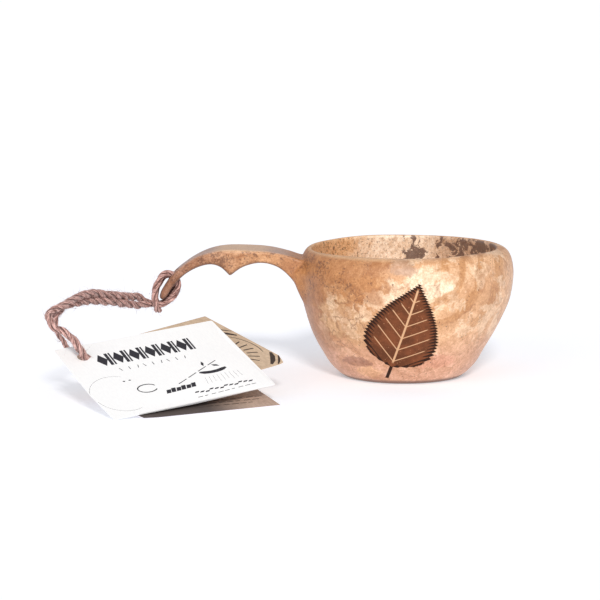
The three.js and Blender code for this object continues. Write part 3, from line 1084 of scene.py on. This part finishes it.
def burl_cracks(paint, at, warped, curl):
    """Broken hairline cracks round one plate near the handle."""
    crack_gap = paint.cells(warped, 8.5, "Distance", "DISTANCE_TO_EDGE")
    wobble = paint.times(paint.minus(curl, 0.5), 1.5)
    cracked = blotch(paint, at, (-29, -40, 33), (13, 22, 18), wobble)
    broken = paint.times(cracked, paint.rise(paint.noise(at, 7, 2), 0.4, 0.54))
    return paint.times(paint.rise(crack_gap, 0.045, 0.01), broken)


def burl_hollow(paint, at, colour, specks):
    """The inside: speckled tan by the handle, cream beyond it, then crisp dark stain."""
    x = paint.parts(at)[0]
    ragged = paint.noise(at, 6, 6, 0.68, 0.6)
    side = paint.plus(x, paint.times(ragged, 26))
    inner = paint.mix(paint.rise(side, -16, 2), tone(238, 186, 136), tone(255, 228, 200))
    inner = paint.mix(paint.rise(side, 20, 36), inner, tone(206, 172, 144))
    inner = paint.shade(inner, paint.noise(at, 2.4, 5, 0.7), 0.3)
    inner = paint.mix(0.15, inner, colour)
    speck_share = paint.minus(0.72, paint.times(paint.rise(x, -30, -4), 0.4))
    inner = paint.tint(inner, tone(122, 82, 56), specks, speck_share)
    reach = paint.node("ShaderNodeMapRange", 0, {0: x, 1: -12.0, 2: 44.0, 3: -0.16, 4: 0.055})
    middle = blotch(paint, at, (8, 44, 51), (10, 20, 8), paint.times(ragged, 0.4))
    reach = paint.plus(reach, paint.times(middle, 0.1))
    stain = paint.rise(paint.plus(ragged, reach), 0.5, 0.525)
    dark = paint.mix(paint.noise(at, 1.6, 3), tone(84, 62, 54), tone(128, 98, 84))
    return paint.tint(inner, dark, stain, 0.92)


def grain_and_painted_light(paint, at, warped, handle, colour):
    """The handle's grain, a painted sheen on its top and painted shade on its underside, a painted highlight
    along the lip and painted contact shade at the foot.
    """
    x, _, z = paint.parts(at)
    streaky = paint.noise(paint.vector("MULTIPLY", warped, (0.35, 1, 1)), 3, 5, 0.7)
    colour = paint.shade(colour, streaky, paint.times(handle, 0.45))
    facing_up = paint.parts(paint.node("ShaderNodeNewGeometry", "Normal"))[2]
    on_handle = paint.rise(x, -50, -60)
    # Painted sheen: the handle's upward-facing top is paler and greyer, as where it reflects the bright
    # backdrop.
    painted_sheen_top = paint.times(paint.rise(facing_up, 0.5, 0.85), on_handle)
    colour = paint.tint(colour, tone(196, 170, 158), painted_sheen_top, 0.6)
    # Painted shade: the handle's downward-facing underside is darker.
    under = paint.times(paint.rise(facing_up, -0.1, -0.6), on_handle)
    colour = paint.tint(colour, tone(112, 78, 62), under, 0.55)
    # Painted highlight: a paler band along the top of the lip, on the handle's side.
    painted_lip_highlight = paint.times(paint.rise(z, 60.2, 61.6), paint.rise(x, 10, -20))
    colour = paint.tint(colour, tone(236, 196, 152), painted_lip_highlight, 0.5)
    # Painted contact shade: the lowest few millimetres of the foot are darkened.
    return paint.tint(colour, tone(104, 66, 50), paint.rise(z, 2.6, 1.0), 0.85)


def burl_wood():
    """Oiled birch burl: patches, specks and hairline cracks, with dark stain in the hollow."""
    paint = Paint("burl_wood")
    at = paint.place()
    x, _, z = paint.parts(at)
    hollow = paint.attribute("hollow")

    drift = paint.vector("SUBTRACT", paint.noise(at, 15, 4, 0.6, output=1), (0.5, 0.5, 0.5))
    warped = paint.vector("ADD", at, paint.vector("SCALE", drift, scale=17))
    curl = paint.noise(warped, 6, 5, 0.62, 1.2)
    colour = burl_patches(paint, at, warped, curl)
    colour = burl_figure(paint, at, warped, colour)

    handle = paint.rise(x, -50, -66)
    colour = paint.tint(colour, tone(210, 160, 118), handle, 0.6)
    darker = paint.rise(paint.plus(x, paint.times(curl, 20)), -56, -92)
    colour = paint.tint(colour, tone(160, 112, 88), darker, 0.7)
    colour = paint.tint(colour, tone(132, 88, 70), paint.rise(x, -96, -112), 0.5)

    by_handle = paint.times(paint.rise(x, 0, -40), paint.rise(z, 34, 50))
    crowd = paint.times(paint.rise(paint.noise(warped, 9, 3), 0.4, 0.62), 0.75)
    crowd = paint.plus(crowd, paint.times(by_handle, 0.55))
    crowd = paint.plus(crowd, paint.times(handle, 0.25))
    specks = burl_specks(paint, at, paint.math("MAXIMUM", crowd, hollow))
    colour = paint.tint(colour, UMBER, specks, 0.68)
    ochre_marks = paint.times(paint.rise(paint.noise(warped, 3.4, 5, 0.72), 0.5, 0.62), by_handle)
    colour = paint.tint(colour, tone(150, 96, 52), ochre_marks, 0.45)
    cracks = burl_cracks(paint, at, warped, curl)
    colour = paint.tint(colour, tone(146, 96, 64), cracks, 0.62)
    colour = grain_and_painted_light(paint, at, warped, handle, colour)

    grain = paint.noise(at, 0.8, 3, 0.75)
    colour = paint.mix(hollow, colour, burl_hollow(paint, at, colour, specks))
    colour = paint.shade(colour, grain, 0.2)
    colour, burnt = leaf_engraving(paint, at, colour, hollow)
    pores = paint.plus(paint.times(grain, 0.5), paint.times(specks, -0.6))
    paint.bump(paint.plus(pores, paint.times(cracks, -1.0)), 0.12, 0.5)
    return paint.finish(
        Base_Color=colour,
        Roughness=paint.plus(0.42, paint.plus(paint.times(grain, 0.12), paint.times(burnt, 0.2))),
        Coat_Weight=paint.minus(0.3, paint.times(burnt, 0.28)),
        Coat_Roughness=0.4,
        Specular_IOR_Level=paint.minus(0.45, paint.times(burnt, 0.3)),
    )


def jute_twine():
    """Rosy brown fibre, with painted shade in the grooves between the plies."""
    paint = Paint("jute_twine")
    streaks = paint.noise(paint.attribute("fibre", "Vector"), 1.0, 3, 0.65)
    ridge = paint.rise(paint.attribute("ridge"), 0.56, 0.96)
    colour = paint.mix(paint.rise(streaks, 0.38, 0.62), tone(118, 74, 66), tone(236, 192, 182))
    # Painted shade: darker where a point lies deep between the plies.
    colour = paint.mix(paint.minus(1.0, ridge), colour, tone(82, 46, 40))
    paint.bump(streaks, 0.15, 0.9)
    return paint.finish(Base_Color=colour, Roughness=0.9, Sheen_Weight=0.25, Sheen_Roughness=0.5)


def paper(name, light, dark, fibre_size, roughness, shade=None):
    """Card with fine fibre in its surface. Given a shade colour, the near left of the sheet gets a soft
    painted shadow, as if a sheet lay close above it.
    """
    paint = Paint(name)
    at = paint.attribute("on_sheet", "Vector")
    fibres = paint.noise(paint.vector("MULTIPLY", at, (1.0, 0.35, 1.0)), fibre_size, 4, 0.65)
    cloud = paint.noise(at, 16, 2)
    amount = paint.plus(paint.times(fibres, 0.75), paint.times(cloud, 0.25))
    colour = paint.mix(paint.rise(amount, 0.3, 0.7), dark, light)
    # Painted shadow: the near left of the sheet darkens softly towards the shade colour.
    if shade:
        x, y, _ = paint.parts(at)
        painted_shadow_share = paint.times(paint.rise(x, 56, 28), paint.rise(y, -26, -36))
        colour = paint.tint(colour, shade, painted_shadow_share, 0.95)
    paint.bump(fibres, 0.05, 0.35)
    return paint.finish(Base_Color=colour, Roughness=roughness)


def printed_ink(name, dark, light):
    """Printing ink, slightly uneven where the paper is rough."""
    paint = Paint(name)
    speckle = paint.noise(paint.attribute("on_sheet", "Vector"), 0.6, 3, 0.7)
    colour = paint.mix(paint.rise(speckle, 0.6, 0.75), dark, light)
    return paint.finish(Base_Color=colour, Roughness=0.6)


def studio_floor():
    """A white sheet lit a little from below, as on a light table."""
    paint = Paint("studio_floor")
    return paint.finish(
        Base_Color=(0.8, 0.815, 0.86, 1), Roughness=1.0, Specular_IOR_Level=0.0,
        Emission_Color=(0.97, 0.98, 1.0, 1), Emission_Strength=0.34,
    )


# ---- Stage -----------------------------------

FLOOR_RADIUS = 14000
FLOOR_SIDES = 96
FLOOR_HEIGHT = -0.05
CAMERA_PLACE = (-0.0492, -1.400, 0.2383)
CAMERA_LOOKS_DOWN = 8.222
CAMERA_LENS = 177.05
SENSOR_WIDTH = 36
FAR_CLIP = 100


def make_floor():
    rim = circle((0, 0), FLOOR_RADIUS, FLOOR_SIDES)
    points = [(x, y, FLOOR_HEIGHT) for x, y in rim]
    mesh = new_mesh("floor", points, [list(range(FLOOR_SIDES))], smooth=False)
    new_object(mesh, studio_floor())


def sunlight(name, toward, strength, spread_degrees, colour):
    """Even light from a long way off. Toward points from the cup to the light."""
    data = bpy.data.lights.new(name, "SUN")
    data.energy = strength
    data.color = colour
    data.angle = math.radians(spread_degrees)
    made = bpy.data.objects.new(name, data)
    made.rotation_euler = Vector(toward).to_track_quat("Z", "Y").to_euler()
    bpy.context.scene.collection.objects.link(made)


def make_lights():
    world = bpy.data.worlds.new("studio")
    world.use_nodes = True
    background = world.node_tree.nodes["Background"]
    background.inputs["Color"].default_value = (0.93, 0.945, 1.0, 1)
    background.inputs["Strength"].default_value = 0.54
    bpy.context.scene.world = world
    sunlight("key", (0.07, -1, 0.56), 2.0, 9, (1, 0.97, 0.92))
    sunlight("fill", (-0.75, -1, 0.6), 0.32, 35, (1, 0.97, 0.94))


def make_camera():
    data = bpy.data.cameras.new("camera")
    data.lens = CAMERA_LENS
    data.sensor_width = SENSOR_WIDTH
    data.clip_end = FAR_CLIP
    camera = bpy.data.objects.new("camera", data)
    camera.location = CAMERA_PLACE
    camera.rotation_euler = (math.radians(90 - CAMERA_LOOKS_DOWN), 0, 0)
    bpy.context.scene.collection.objects.link(camera)
    bpy.context.scene.camera = camera


# ---- Building --------------------------------

def make_cup():
    cup = new_object(cup_mesh(), burl_wood())
    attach(cup, "cup")
    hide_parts("cup_body")


def make_tag(name, node, slot, *shape):
    """One tag's sheet, riding on the body that has the tag's own name."""
    sheet = tag_sheet(name + "_sheet", *shape)
    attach(sheet, name)
    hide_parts(node)


def make_tags():
    white = paper("white_card", tone(251, 251, 250), tone(245, 245, 245), 0.8, 0.6)
    kraft = paper("kraft_card", tone(222, 198, 170), tone(194, 169, 143), 0.9, 0.85)
    # The leaf tag's card carries a painted shadow at its near left, where the white tag lies close above it.
    light, dark, shade = tone(204, 178, 160), tone(176, 150, 134), tone(76, 68, 66)
    shadowed_kraft = paper("kraft_card_painted_shadow", light, dark, 0.9, 0.85, shade)
    back = paper("leaf_card_back", tone(236, 232, 238), tone(224, 220, 228), 0.9, 0.8)
    black = printed_ink("black_ink", tone(34, 32, 40), tone(84, 82, 90))
    brown_black = printed_ink("dark_ink", tone(60, 48, 42), tone(104, 84, 70))
    white_faces, kraft_faces = (white, black, white), (kraft, brown_black, kraft)
    leaf_faces = (shadowed_kraft, brown_black, back)
    make_tag("white_tag", "tag_white", "white_card", WHITE_TAG, white_print(), white_bend, white_faces)
    make_tag("kraft_tag", "tag_kraft", "kraft_card", KRAFT_TAG, kraft_print(), kraft_bend, kraft_faces)
    make_tag("leaf_tag", "tag_leaf", "kraft_card", LEAF_TAG, leaf_print(), leaf_bend, leaf_faces)


make_cup()
make_twine(jute_twine())
make_tags()
make_floor()
make_lights()
make_camera()
bpy.context.scene.view_settings.view_transform = "Standard"
